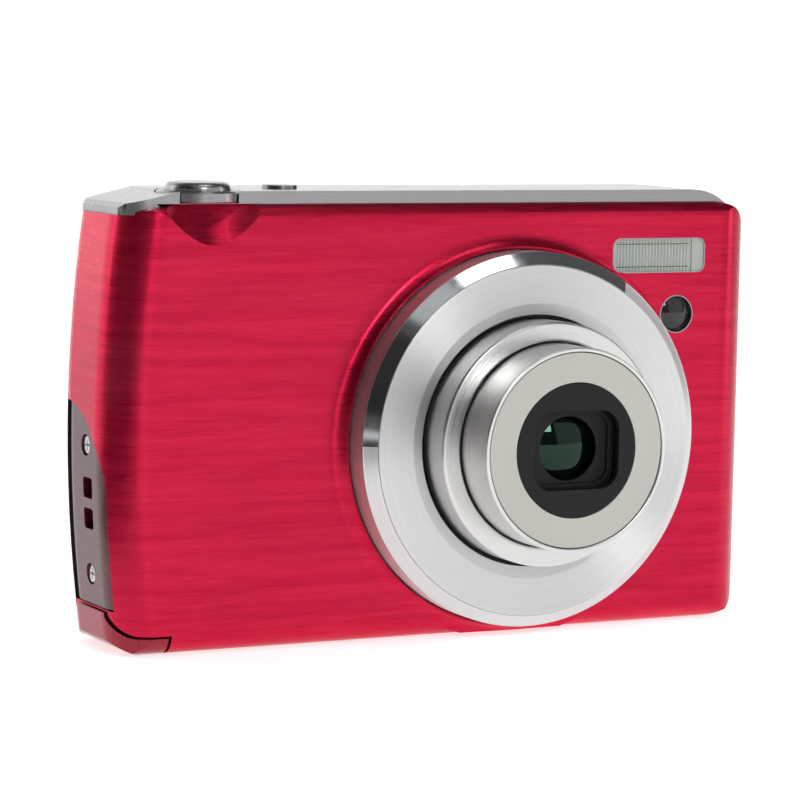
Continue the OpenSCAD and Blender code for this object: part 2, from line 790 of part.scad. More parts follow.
module image_sensor() color([0.1, 0.3, 0.2]) {
    block([lens_x - 10, base_y1, lens_z - 7.5], [lens_x + 10, chassis_y0 - 0.1, lens_z + 7.5]);
    block([lens_x - 5.5, base_y0 + 0.4, lens_z - 4.5], [lens_x + 5.5, base_y1, lens_z + 4.5]);
}

// ---- Flash and focus lamp ----

module flash_window() color([0.8, 0.84, 0.82])
    along_y(front_y + 0.1, inner_front_y + 0.1)
        rounded(flash_x[0] + 0.05, flash_z[0] + 0.05, flash_x[1] - 0.05, flash_z[1] - 0.05, [0.95, 0.95, 0.95, 0.95]);

module flash_reflector() color([0.85, 0.85, 0.86]) difference() {
    block([flash_x[0] - 0.8, inner_front_y + 0.1, flash_z[0] - 0.8],
        [flash_x[1] + 0.8, -4.4, flash_z[1] + 0.8]);
    mid_z = (flash_z[0] + flash_z[1]) / 2;
    rod_x(inner_front_y, mid_z, flash_x[0], flash_x[1], 2.25);
    rod_x(inner_front_y + 1.7, mid_z, flash_x[0] - past, flash_x[1] + past, 1.05);
}

module flash_tube() color([0.9, 0.92, 0.95])
    rod_x(inner_front_y + 1.7, (flash_z[0] + flash_z[1]) / 2, flash_x[0] - 0.8, flash_x[1] + 0.8, 0.95);

module flash_capacitor() color([0.1, 0.1, 0.12])
    post(capacitor_x, capacitor_y, capacitor_z[0], capacitor_z[1], capacitor_r);

module af_window() color([0.35, 0.2, 0.2])
    intersection() {
        rod_y(af_x, af_z, front_y + 0.1, inner_front_y + 0.1, af_r - 0.05, fn_big);
        translate([af_x, front_y + 0.1 + 6, af_z]) sphere(6, $fn = fn_big);
    }

module af_led() color([0.9, 0.5, 0.3]) rod_y(af_x, af_z, inner_front_y + 0.1, -5, 1.5);

// ---- Controls on the top ----

module zoom_ring() color([0.8, 0.8, 0.81])
    translate([shutter_x, shutter_y, 0]) rotate_extrude($fn = fn_big)
        polygon([
            [shutter_r + 0.1, seat_z + 0.1], [zoom_ring_r - 0.15, seat_z + 0.1],
            [zoom_ring_r, seat_z + 0.25], [zoom_ring_r, plate_top - 0.25],
            [zoom_ring_r - 0.25, plate_top], [shutter_r + 0.1, plate_top]
        ]);

module shutter_button() color([0.8, 0.8, 0.81]) {
    top_z = plate_top + shutter_rise;
    translate([shutter_x, shutter_y, 0]) rotate_extrude($fn = fn_big)
        difference() {
            union() {
                translate([0, top_z - 1.6]) square([shutter_r - 0.9, 1.6]);
                translate([0, top_z - 1.6]) square([shutter_r, 0.7]);
                translate([shutter_r - 0.9, top_z - 0.9]) circle(0.9, $fn = fn_small);
            }
            translate([stem_r, top_z - 1.6 - past]) square([shutter_r - stem_r - 0.7, past + 0.7]);
        }
    post(shutter_x, shutter_y, plate_low_z, top_z - 0.8, stem_r);
}

module shutter_spring() color([0.7, 0.7, 0.72]) {
    wire_r = 0.16;
    coil_r = 1.8;
    coils = 5;
    top_z = plate_top + shutter_rise - 0.9;
    pitch = (top_z - seat_z - 2 * wire_r) / (coils - 1);
    translate([shutter_x, shutter_y, 0]) rotate_extrude($fn = fn_small) {
        for (i = [0 : coils - 1])
            translate([coil_r, seat_z + wire_r + i * pitch]) circle(wire_r, $fn = 16);
        translate([coil_r - 0.05, seat_z + wire_r]) square([0.1, pitch * (coils - 1)]);
    }
}

module power_button() color([0.8, 0.8, 0.81]) {
    post(power_x, power_y, skin_h - 0.3, plate_top + power_rise, power_r);
    post(power_x, power_y, skin_h - 0.4, plate_top - plate_wall - 0.1, power_r + 0.5);
    post(power_x, power_y, board_z + 0.9, skin_h, 0.8);
}

module top_switch_board() color([0.1, 0.35, 0.2]) {
    block([-42, -4.9, board_z - 0.8], [-15, chassis_y0, board_z]);
    block([shutter_x - 1.5, shutter_y - 0.8, board_z], [shutter_x + 1.5, shutter_y + 1.5, board_z + 0.3]);
    block([power_x - 1.5, power_y - 1.5, board_z], [power_x + 1.5, power_y + 1.5, board_z + 0.3]);
}

// ---- Boards, display and keys ----

module main_board() color([0.1, 0.35, 0.2]) {
    board_y0 = chassis_y1 + 0.3;
    board_y1 = keypad_y0 - 0.2;
    block([-43, board_y0, 6.5], [43, board_y1, 53.5]);
    for (chip = [[-2, 22, 14, 14], [20, 14, 10, 8], [24, 34, 12, 6]])
        block([chip[0], board_y1, chip[1]], [chip[0] + chip[2], board_y1 + 0.6, chip[1] + chip[3]]);
}

module usb_connector() color([0.75, 0.75, 0.76]) difference() {
    along_x(usb_x0, half_w - wall) slot_2d(0, usb_z, 3, 8, 0.8);
    along_x(usb_x0 + 0.6, half_w) slot_2d(0, usb_z, 2.2, 7.2, 0.5);
}

module lcd_window() color([0.05, 0.05, 0.07])
    along_y(inner_back_y - 0.3, back_y - 0.05)
        rounded(lcd_x[0] + 0.1, lcd_z[0] + 0.1, lcd_x[1] - 0.1, lcd_z[1] - 0.1, [1.4, 1.4, 1.4, 1.4]);

module lcd_panel() color([0.3, 0.32, 0.36])
    block([lcd_x[0] + lcd_frame - 1, 6.4, lcd_z[0] + lcd_frame - 1],
        [lcd_x[1] - lcd_frame + 1, inner_back_y - 0.3, lcd_z[1] - lcd_frame + 1]);

module keypad() color([0.2, 0.2, 0.22]) block([-44, keypad_y0, 8], [-18, keypad_y1, 52]);

module nav_carrier() color([0.25, 0.25, 0.27]) difference() {
    rod_y(nav_x, nav_z, keypad_y1 + 0.35, keypad_y1 + 0.7, 6, fn_big);
    rod_y(nav_x, nav_z, keypad_y1, back_y, nav_bore_r + 0.2, fn_big);
}

module nav_ring() color([0.7, 0.7, 0.72]) difference() {
    rod_y(nav_x, nav_z, keypad_y1 + 1.1, back_y - 0.1, nav_r, fn_big);
    rod_y(nav_x, nav_z, keypad_y1, back_y + past, nav_bore_r, fn_big);
}

module ok_button() color([0.75, 0.75, 0.77]) rod_y(nav_x, nav_z, keypad_y1 + 0.7, back_y, ok_r, fn_big);

// One of the four pill-shaped keys round the pad
module corner_key(sx, sz) {
    x = nav_x + sx * key_dx;
    z = nav_z + sz * key_dz;
    along_y(keypad_y1 + 0.7, back_y + key_proud) slot_2d(x, z, key_w, key_h, key_h / 2 - 0.05);
    along_y(keypad_y1 + 0.7, inner_back_y - 0.6) slot_2d(x, z, key_w + 1.4, key_h + 1.4, key_h / 2);
}

module playback_button() color([0.7, 0.7, 0.72]) corner_key(-1, 1);

module mode_button() color([0.7, 0.7, 0.72]) corner_key(1, 1);

module menu_button() color([0.7, 0.7, 0.72]) corner_key(-1, -1);

module delete_button() color([0.7, 0.7, 0.72]) corner_key(1, -1);

front_skin();
back_cover();
top_plate();
side_panel();
strap_bar();
case_screws();
chassis();
tripod_socket();
battery_door();
door_hinge_bracket();
door_hinge_pin();
battery();
battery_contacts();
memory_card();
lens_ring_base();
lens_ring_face();
fixed_barrel();
barrel_seal();
drive_ring();
zoom_gear();
zoom_pinion();
zoom_motor();
outer_barrel();
inner_barrel();
front_plate();
lens_mask();
barrier_blade_upper();
barrier_blade_lower();
front_lens_cell();
front_lens();
shutter_unit();
focus_carriage();
focus_lens();
focus_rods();
focus_motor();
lens_base_plate();
image_sensor();
flash_window();
flash_reflector();
flash_tube();
flash_capacitor();
af_window();
af_led();
zoom_ring();
shutter_button();
shutter_spring();
power_button();
top_switch_board();
main_board();
usb_connector();
lcd_window();
lcd_panel();
keypad();
nav_carrier();
nav_ring();
ok_button();
playback_button();
mode_button();
menu_button();
delete_button();
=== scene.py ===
# %% [markdown]
# # A compact digital camera
# The case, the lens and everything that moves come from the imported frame, which is loaded first and
# never changed. This lesson adds what the frame can't hold: soft edges, turned lens rings, brushed
# metal, glass and bare cut edges. Lengths are written in millimetres and turned into metres once.

# %% Load the frame
import json
from math import cos, pi, radians, sin

import bmesh
import bpy
from mathutils import Matrix, Quaternion, Vector

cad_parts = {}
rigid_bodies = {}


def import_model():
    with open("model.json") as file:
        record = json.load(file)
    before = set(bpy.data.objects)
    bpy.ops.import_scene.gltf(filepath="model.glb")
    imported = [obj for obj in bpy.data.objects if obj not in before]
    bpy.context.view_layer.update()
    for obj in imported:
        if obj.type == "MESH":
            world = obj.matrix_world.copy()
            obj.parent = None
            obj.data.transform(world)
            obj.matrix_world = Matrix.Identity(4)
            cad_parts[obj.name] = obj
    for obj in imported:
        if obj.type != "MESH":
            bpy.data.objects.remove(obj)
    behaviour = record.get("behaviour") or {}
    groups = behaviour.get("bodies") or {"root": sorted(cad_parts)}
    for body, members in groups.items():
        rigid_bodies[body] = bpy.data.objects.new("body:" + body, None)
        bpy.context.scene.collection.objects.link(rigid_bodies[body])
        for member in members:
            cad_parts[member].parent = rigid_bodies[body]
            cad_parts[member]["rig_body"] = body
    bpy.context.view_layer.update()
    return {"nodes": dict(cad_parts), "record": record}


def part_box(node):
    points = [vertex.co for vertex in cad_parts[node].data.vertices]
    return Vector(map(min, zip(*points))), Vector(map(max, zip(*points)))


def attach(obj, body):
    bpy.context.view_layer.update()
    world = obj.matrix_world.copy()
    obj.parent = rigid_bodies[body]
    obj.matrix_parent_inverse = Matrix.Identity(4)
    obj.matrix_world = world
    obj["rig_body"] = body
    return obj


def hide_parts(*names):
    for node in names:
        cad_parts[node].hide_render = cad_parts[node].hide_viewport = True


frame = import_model()
MM = 0.001
nodes = frame["nodes"]


def low(node):
    """Lowest corner of a frame node, in millimetres."""
    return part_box(node)[0] / MM


def high(node):
    """Highest corner of a frame node, in millimetres."""
    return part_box(node)[1] / MM


def middle(node, axis):
    """Middle of a frame node's box along "x", "y" or "z", in millimetres."""
    return (getattr(low(node), axis) + getattr(high(node), axis)) / 2


def half_width(node):
    """Half the width of a frame node's box along X, in millimetres."""
    return (high(node).x - low(node).x) / 2


# %% [markdown]
# ## Places that many pieces share
# Everything round on the lens sits on one axis, so it is measured once, from the barrels. The front
# face of the case is found from its lamp window, which stands just behind it.

# %% Axes and planes
WINDOW_INSET = 0.1
lens_x, lens_z = middle("outer_barrel", "x"), middle("outer_barrel", "z")
front_y = low("af_window").y - WINDOW_INSET
print("lens axis", round(lens_x, 2), round(lens_z, 2), "front face", round(front_y, 2))

# %% [markdown]
# ## Camera
# A long lens from the left and a little above, so that the near end looks only slightly larger.

# %% Camera
YAW, PITCH, ROLL = 27.33, 6.12, 1.13
TARGET = Vector((-3.15, -2.0, 31.1)) * MM
DISTANCE = 0.4558
FOCAL_LENGTH, SENSOR_WIDTH = 153.3, 36
forward = Vector((sin(radians(YAW)) * cos(radians(PITCH)), cos(radians(YAW)) * cos(radians(PITCH)),
                  -sin(radians(PITCH))))
camera_data = bpy.data.cameras.new("view_camera")
camera_data.lens = FOCAL_LENGTH
camera_data.sensor_width = SENSOR_WIDTH
camera_data.clip_start = 0.01
camera = bpy.data.objects.new("view_camera", camera_data)
turn = forward.to_track_quat("-Z", "Y") @ Quaternion((0, 0, 1), radians(ROLL))
camera.matrix_world = Matrix.Translation(TARGET - forward * DISTANCE) @ turn.to_matrix().to_4x4()
bpy.context.scene.collection.objects.link(camera)
bpy.context.scene.camera = camera
print("camera at", [round(v, 3) for v in camera.matrix_world.translation])

# %% [markdown]
# ## Studio
# Shiny things show what stands around them. The room is a soft grey, so metal has something darker to
# show, and a white floor, a white wall behind and broad lamps give it long clean highlights. Two black
# cards at the left give the lens ring and the side their dark reflections.

# %% Floor, lights and surroundings
ROOM_GLOW = 0.10
scene = bpy.context.scene
scene.view_settings.view_transform = "Standard"
world = bpy.data.worlds.new("studio")
world.use_nodes = True
sky = world.node_tree.nodes["Background"]
sky.inputs["Color"].default_value = (1.0, 1.0, 1.0, 1)
sky.inputs["Strength"].default_value = ROOM_GLOW
scene.world = world


def stage_panel(name, centre, facing, width, height, colour, glow=0.0):
    """A flat card that the object reflects; it isn't part of the object."""
    bm = bmesh.new()
    bmesh.ops.create_grid(bm, x_segments=1, y_segments=1, size=0.5)
    bmesh.ops.scale(bm, vec=(width, height, 1), verts=bm.verts)
    spin_to = Vector(facing).to_track_quat("Z", "Y").to_matrix().to_4x4()
    bmesh.ops.transform(bm, matrix=Matrix.Translation(centre) @ spin_to, verts=bm.verts)
    mesh = bpy.data.meshes.new(name)
    bm.to_mesh(mesh)
    bm.free()
    card = bpy.data.objects.new(name, mesh)
    paint = bpy.data.materials.new(name)
    paint.use_nodes = True
    shader = paint.node_tree.nodes["Principled BSDF"]
    shader.inputs["Base Color"].default_value = (*colour, 1)
    shader.inputs["Roughness"].default_value = 0.9
    shader.inputs["Emission Color"].default_value = (*colour, 1)
    shader.inputs["Emission Strength"].default_value = glow
    mesh.materials.append(paint)
    scene.collection.objects.link(card)


AIM = Vector((0, 0, 0.03))


def soft_light(name, azimuth, height_angle, distance, width, height, glow):
    """A broad lamp that faces the object; azimuth 0 is in front and positive is to the left."""
    side, rise = radians(azimuth), radians(height_angle)
    away = Vector((-sin(side) * cos(rise), -cos(side) * cos(rise), sin(rise)))
    data = bpy.data.lights.new(name, "AREA")
    data.shape = "RECTANGLE"
    data.size = width
    data.size_y = height
    data.energy = glow * pi * width * height
    light = bpy.data.objects.new(name, data)
    place = AIM + away * distance
    facing = (-away).to_track_quat("-Z", "Y").to_matrix().to_4x4()
    light.matrix_world = Matrix.Translation(place) @ facing
    scene.collection.objects.link(light)


WHITE, BLACK = (1.0, 1.0, 1.0), (0.01, 0.01, 0.01)
stage_panel("floor", (0, 1.0, -0.0002), (0, 0, 1), 8, 5, WHITE, 0.66)
stage_panel("wall_behind", (0, 3.0, 1.5), (0, -1, 0), 8, 5, WHITE, 1.0)
stage_panel("dark_card", (-0.40, -0.16, 0.30), (1, 0, 0), 0.60, 0.44, BLACK)
stage_panel("dark_floor", (-0.25, -0.14, 0.0), (0, 0, 1), 0.30, 0.40, BLACK)
soft_light("overhead", -22, 68, 0.8, 0.34, 0.22, 3.0)
soft_light("upper_left", 28, 56, 0.9, 0.36, 0.26, 0.5)
soft_light("key", 2, 24, 0.9, 0.20, 0.20, 13.0)
soft_light("front_right", -34, 16, 0.9, 0.70, 0.55, 0.62)
soft_light("right_edge", -66, 12, 0.9, 0.14, 0.60, 2.6)
soft_light("far_left", 120, 20, 1.0, 0.22, 0.60, 2.8)
print("studio ready")

# %% [markdown]
# ## Finishes
# Each finish starts from one shader. Noise in object coordinates varies its tone, its roughness and
# its height, and stretching the noise along one direction turns specks into brush marks.

# %% Finish helper
finishes = {}
COAT_ROUGHNESS = 0.06
BROAD_SHIFT = (3, 1, 2)


def from_lens_axis(tree):
    """Object coordinates measured from the lens axis, with the part along the axis left out."""
    coords = tree.nodes.new("ShaderNodeTexCoord")
    mapping = tree.nodes.new("ShaderNodeMapping")
    mapping.inputs["Location"].default_value = (-lens_x * MM, 0, -lens_z * MM)
    flatten = tree.nodes.new("ShaderNodeVectorMath")
    flatten.operation = "MULTIPLY"
    flatten.inputs[1].default_value = (1, 0, 1)
    tree.links.new(coords.outputs["Object"], mapping.inputs["Vector"])
    tree.links.new(mapping.outputs["Vector"], flatten.inputs[0])
    return flatten.outputs[0]


def turned_place(tree):
    """Distance from the lens axis and depth along it, so that noise read here forms circles."""
    reach = tree.nodes.new("ShaderNodeVectorMath")
    reach.operation = "LENGTH"
    tree.links.new(from_lens_axis(tree), reach.inputs[0])
    depth = tree.nodes.new("ShaderNodeSeparateXYZ")
    tree.links.new(tree.nodes.new("ShaderNodeTexCoord").outputs["Object"], depth.inputs[0])
    place = tree.nodes.new("ShaderNodeCombineXYZ")
    tree.links.new(reach.outputs["Value"], place.inputs["X"])
    tree.links.new(depth.outputs["Y"], place.inputs["Y"])
    return place.outputs[0]


def noise(tree, place, scale, stretch=(1, 1, 1), detail=3.0, marks=None):
    """Noise in object coordinates; stretch below 1 draws it out along that axis."""
    mapping = tree.nodes.new("ShaderNodeMapping")
    mapping.inputs["Location"].default_value = place
    mapping.inputs["Scale"].default_value = [scale * s for s in stretch]
    texture = tree.nodes.new("ShaderNodeTexNoise")
    texture.inputs["Scale"].default_value = 1.0
    texture.inputs["Detail"].default_value = detail
    if marks == "turned":
        source = turned_place(tree)
    else:
        source = tree.nodes.new("ShaderNodeTexCoord").outputs["Object"]
    tree.links.new(source, mapping.inputs["Vector"])
    tree.links.new(mapping.outputs["Vector"], texture.inputs["Vector"])
    return texture.outputs["Fac"]


def spread(tree, value, low_out, high_out, low_in=0.3, high_in=0.7):
    """Stretches a noise value over a range."""
    ramp = tree.nodes.new("ShaderNodeMapRange")
    ramp.inputs["From Min"].default_value = low_in
    ramp.inputs["From Max"].default_value = high_in
    ramp.inputs["To Min"].default_value = low_out
    ramp.inputs["To Max"].default_value = high_out
    tree.links.new(value, ramp.inputs["Value"])
    return ramp.outputs["Result"]


def lie_of_marks(tree, marks):
    """Direction across the marks: marks run along X, or round the lens axis."""
    if marks == "along":
        normal = tree.nodes.new("ShaderNodeNewGeometry").outputs["Normal"]
        across = tree.nodes.new("ShaderNodeVectorMath")
        across.operation = "CROSS_PRODUCT"
        tree.links.new(normal, across.inputs[0])
        across.inputs[1].default_value = (1, 0, 0)
        return across.outputs[0]
    outward = tree.nodes.new("ShaderNodeVectorMath")
    outward.operation = "NORMALIZE"
    tree.links.new(from_lens_axis(tree), outward.inputs[0])
    return outward.outputs[0]


def finish(slot, dark, light, rough, metal=0.0, coat=0.0, grain=400, stretch=(1, 1, 1),
           bump=0.1, depth=0.02, wide=60, marks=None, lie=0.7):
    """A finish with two tones, a roughness range and a fine relief of the given depth in mm."""
    material = bpy.data.materials.new(slot)
    material.use_nodes = True
    tree = material.node_tree
    shader = tree.nodes["Principled BSDF"]
    shader.inputs["Metallic"].default_value = metal
    shader.inputs["Coat Weight"].default_value = coat
    shader.inputs["Coat Roughness"].default_value = COAT_ROUGHNESS
    fine = noise(tree, (0, 0, 0), grain, stretch, 3.0, marks)
    broad = noise(tree, BROAD_SHIFT, wide, stretch, 2.0, marks)
    blend = tree.nodes.new("ShaderNodeMix")
    blend.data_type = "RGBA"
    blend.inputs[6].default_value = (*dark, 1)
    blend.inputs[7].default_value = (*light, 1)
    both = tree.nodes.new("ShaderNodeMath")
    both.operation = "ADD"
    tree.links.new(spread(tree, fine, 0.0, 0.5), both.inputs[0])
    tree.links.new(spread(tree, broad, 0.0, 0.5), both.inputs[1])
    tree.links.new(both.outputs[0], blend.inputs[0])
    tree.links.new(blend.outputs[2], shader.inputs["Base Color"])
    tree.links.new(spread(tree, fine, rough[0], rough[1]), shader.inputs["Roughness"])
    relief = tree.nodes.new("ShaderNodeBump")
    relief.inputs["Strength"].default_value = bump
    relief.inputs["Distance"].default_value = depth * MM
    tree.links.new(fine, relief.inputs["Height"])
    tree.links.new(relief.outputs["Normal"], shader.inputs["Normal"])
    if marks:
        shader.inputs["Anisotropic"].default_value = lie
        tree.links.new(lie_of_marks(tree, marks), shader.inputs["Tangent"])
    finishes[slot] = material
    return material


# %% [markdown]
# The skin is brushed across its width: marks about five millimetres long and a quarter wide. The moulded
# reds have only a faint orange-peel relief under a clear gloss.

# %% Reds
LEVEL_MARKS = (0.05, 0.06, 1.0)
PLATE_MARKS = (0.02, 1.0, 1.0)
finish("red_skin", (0.46, 0.004, 0.034), (0.66, 0.016, 0.066), (0.26, 0.38), metal=0.92, coat=0.08,
       grain=4200, stretch=LEVEL_MARKS, bump=0.15, depth=0.02, wide=900, marks="along", lie=0.6)
finish("side_red", (0.10, 0.010, 0.020), (0.115, 0.012, 0.024), (0.26, 0.32), coat=0.15,
       grain=900, bump=0.01)
finish("door_red", (0.27, 0.004, 0.020), (0.33, 0.006, 0.028), (0.22, 0.28), metal=0.5, coat=0.2,
       grain=900, bump=0.01)
print("red finishes", len(finishes))

# %% [markdown]
# The metals differ in how they were worked. Turned rings carry fine circles round the lens axis, so their
# noise is read by radius; the top plate is brushed lengthwise; polished parts have almost no relief.

# %% Silvers and other metals
finish("satin_silver", (0.30, 0.30, 0.31), (0.36, 0.36, 0.37), (0.24, 0.34), metal=1.0,
       grain=3000, stretch=PLATE_MARKS, bump=0.01, depth=0.01, marks="along", lie=0.5)
finish("ring_satin", (0.66, 0.665, 0.67), (0.76, 0.765, 0.765), (0.38, 0.46), metal=1.0, grain=6000,
       bump=0.05, depth=0.01, wide=900, marks="turned", lie=0.85)
finish("polished_chrome", (0.60, 0.62, 0.65), (0.68, 0.70, 0.72), (0.10, 0.14), metal=1.0,
       grain=700, bump=0.01)
finish("barrel_silver", (0.66, 0.66, 0.65), (0.74, 0.74, 0.73), (0.26, 0.36), metal=1.0, grain=6000,
       bump=0.1, depth=0.01, marks="turned", lie=0.5)
finish("warm_silver", (0.52, 0.51, 0.47), (0.58, 0.57, 0.53), (0.42, 0.52), metal=0.35, grain=7000,
       bump=0.15, depth=0.01)
finish("steel", (0.50, 0.50, 0.50), (0.62, 0.62, 0.62), (0.18, 0.34), metal=1.0, grain=2500, bump=0.1)
finish("frame_alloy", (0.34, 0.35, 0.36), (0.44, 0.45, 0.46), (0.35, 0.5), metal=1.0, grain=1500)
finish("brass", (0.60, 0.43, 0.16), (0.72, 0.54, 0.22), (0.2, 0.35), metal=1.0, grain=2000)
finish("black_metal", (0.012, 0.012, 0.012), (0.02, 0.02, 0.02), (0.38, 0.5), metal=0.5, grain=4000)
finish("mirror_foil", (0.80, 0.80, 0.79), (0.90, 0.90, 0.89), (0.04, 0.10), metal=1.0,
       grain=800, bump=0.05)
print("finishes with metals", len(finishes))

# %% [markdown]
# Plastics get a fine spark-eroded grain, as their moulds have, and little else. The keys are painted
# silver under a clear coat, and the display's window is black glass.

# %% Plastics, rubber and boards
finish("back_plastic", (0.018, 0.018, 0.020), (0.026, 0.026, 0.028), (0.38, 0.50),
       grain=5200, bump=0.35, depth=0.02)
finish("black_plastic", (0.006, 0.006, 0.006), (0.010, 0.010, 0.010), (0.42, 0.55),
       grain=6000, bump=0.25, depth=0.01)
finish("seal_rubber", (0.010, 0.010, 0.010), (0.018, 0.018, 0.018), (0.65, 0.8), grain=4000, bump=0.3)
finish("gear_plastic", (0.07, 0.07, 0.075), (0.10, 0.10, 0.105), (0.4, 0.55), grain=3000)
finish("battery_case", (0.03, 0.04, 0.09), (0.05, 0.06, 0.12), (0.25, 0.35), grain=2500)
finish("card_blue", (0.02, 0.03, 0.10), (0.03, 0.05, 0.14), (0.3, 0.4), grain=3000)
finish("lamp_body", (0.5, 0.25, 0.1), (0.6, 0.3, 0.12), (0.2, 0.3), grain=2000)
finish("board_green", (0.01, 0.09, 0.04), (0.02, 0.14, 0.06), (0.25, 0.45), grain=900)
finish("screen_glass", (0.004, 0.004, 0.006), (0.006, 0.006, 0.008), (0.03, 0.06), coat=1.0,
       grain=500, bump=0.01)
finish("panel_grey", (0.05, 0.055, 0.06), (0.07, 0.075, 0.08), (0.4, 0.5), grain=2000)
finish("key_silver", (0.34, 0.34, 0.35), (0.38, 0.38, 0.39), (0.26, 0.34), metal=0.8, coat=0.3, grain=3500,
       bump=0.03, depth=0.01)
print("finishes so far", len(finishes))


# %% [markdown]
# A clear part bends light, so its shader transmits and has a refractive index. The front lens also has a
# thin green coating, which shows only in what it mirrors, so its mirror tint is changed and its strength
# is low. The flash window is milky, so it transmits half of the light.

# %% Clear parts
RIPPLE, ROUGH_SPREAD = 0.04, 0.04


def clear(slot, tint, rough, ior=1.49, see=1.0):
    """A see-through finish with a very faint ripple."""
    material = finish(slot, tint, tint, (rough, rough + ROUGH_SPREAD), grain=700, bump=RIPPLE)
    shader = material.node_tree.nodes["Principled BSDF"]
    shader.inputs["Transmission Weight"].default_value = see
    shader.inputs["IOR"].default_value = ior
    return material


coated = clear("lens_glass", (0.010, 0.022, 0.016), 0.0, 1.5, 0.9).node_tree.nodes["Principled BSDF"]
coated.inputs["Specular Tint"].default_value = (0.55, 1.0, 0.75, 1)
coated.inputs["Specular IOR Level"].default_value = 0.14
clear("flash_clear", (0.74, 0.80, 0.75), 0.03, 1.49, 0.5)
clear("lamp_clear", (0.05, 0.05, 0.05), 0.0, 1.5, 0.6)
matt = finishes["black_plastic"].node_tree.nodes["Principled BSDF"]
matt.inputs["Specular IOR Level"].default_value = 0.25
print("finishes", len(finishes))

# %% [markdown]
# ## Every frame node gets its finish
# Nodes whose shape is already right stay as they are. Their material slots take the finish that the
# record names for them.

# %% Dress the frame
SHARP_ANGLE = 32
node_slot = {entry["node"]: entry["material_slot"] for entry in frame["record"]["subparts"]}
for node_name, node_object in nodes.items():
    node_object.data.materials.clear()
    node_object.data.materials.append(finishes[node_slot[node_name]])
    node_object.data.polygons.foreach_set("use_smooth", [True] * len(node_object.data.polygons))
    node_object.data.set_sharp_from_angle(angle=radians(SHARP_ANGLE))
print("dressed", len(node_slot), "nodes")


# %% [markdown]
# ## Soft edges on moulded pieces
# A moulded edge is never knife-sharp: it is a tiny round that catches the light. The frame's shape is
# copied, its loose triangles are welded, flat runs are merged, and then each sharp edge is bevelled.

# %% Helper for new pieces
node_body = {name: obj["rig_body"] for name, obj in nodes.items()}


def piece_from(bm, name, slot, body, replaced=(), sharp=SHARP_ANGLE):
    """Turns a bmesh into a finished piece that rides on a body."""
    mesh = bpy.data.meshes.new(name)
    bm.to_mesh(mesh)
    bm.free()
    mesh.materials.append(finishes[slot])
    mesh.polygons.foreach_set("use_smooth", [True] * len(mesh.polygons))
    mesh.set_sharp_from_angle(angle=radians(sharp))
    piece = bpy.data.objects.new(name, mesh)
    scene.collection.objects.link(piece)
    even = piece.modifiers.new("even_shading", "WEIGHTED_NORMAL")
    even.keep_sharp = True
    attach(piece, body)
    if replaced:
        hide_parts(*replaced)


def sharp_edges(bm, angle):
    """Edges where two faces meet at more than the angle."""
    return [e for e in bm.edges if len(e.link_faces) == 2 and e.calc_face_angle(0) > radians(angle)]


def rounded(bm, edges, radius, segments):
    """Bevels the edges to a round of the radius, in millimetres."""
    bmesh.ops.bevel(bm, geom=edges, offset=radius * MM, offset_type="OFFSET", segments=segments,
                    profile=0.5, affect="EDGES", clamp_overlap=True, material=-1)


# %% [markdown]
# The skin's edge round the side panel is rolled into a bead, rounder than its other edges. The bead is
# found by its place: the left end of the skin, between the bottom and the end of the side panel.

# %% Helper for soft edges
BEAD_END_X = low("front_skin").x + 6
BEAD_Z, BEAD_Y = (4.5, 33), (-9.45, 5)
WELD, FLAT_ANGLE, EDGE_ANGLE = 2e-6, 0.4, 30


def inside_bead(place):
    """True on the stretch of the skin's edge that is rolled into the bead."""
    return place.x < BEAD_END_X and BEAD_Z[0] < place.z < BEAD_Z[1] and BEAD_Y[0] < place.y < BEAD_Y[1]


def softened(node, radius=0.1, segments=2, bead=0.0):
    """A copy of a frame node with its sharp edges rounded."""
    bm = bmesh.new()
    bm.from_mesh(nodes[node].data)
    bmesh.ops.remove_doubles(bm, verts=bm.verts, dist=WELD)
    bmesh.ops.dissolve_limit(bm, angle_limit=radians(FLAT_ANGLE), verts=bm.verts, edges=bm.edges)
    if bead:
        near = [e for e in sharp_edges(bm, EDGE_ANGLE) if all(inside_bead(v.co / MM) for v in e.verts)]
        rounded(bm, near, bead, 4)
    rounded(bm, sharp_edges(bm, EDGE_ANGLE), radius, segments)
    count = len(bm.faces)
    piece_from(bm, node + "_shell", node_slot[node], node_body[node], [node])
    print(node, "softened,", count, "faces")


# %% [markdown]
# ## Turned pieces
# The lens is a set of rings cut on a lathe, so each is an outline spun once round the lens axis. The
# outline lists radius and place along the axis, and its corners are rounded after the spin.

# %% Helper for turned pieces
STEPS = 160
TURNED_EDGE_ANGLE, TURNED_SHARP_ANGLE = 18, 40


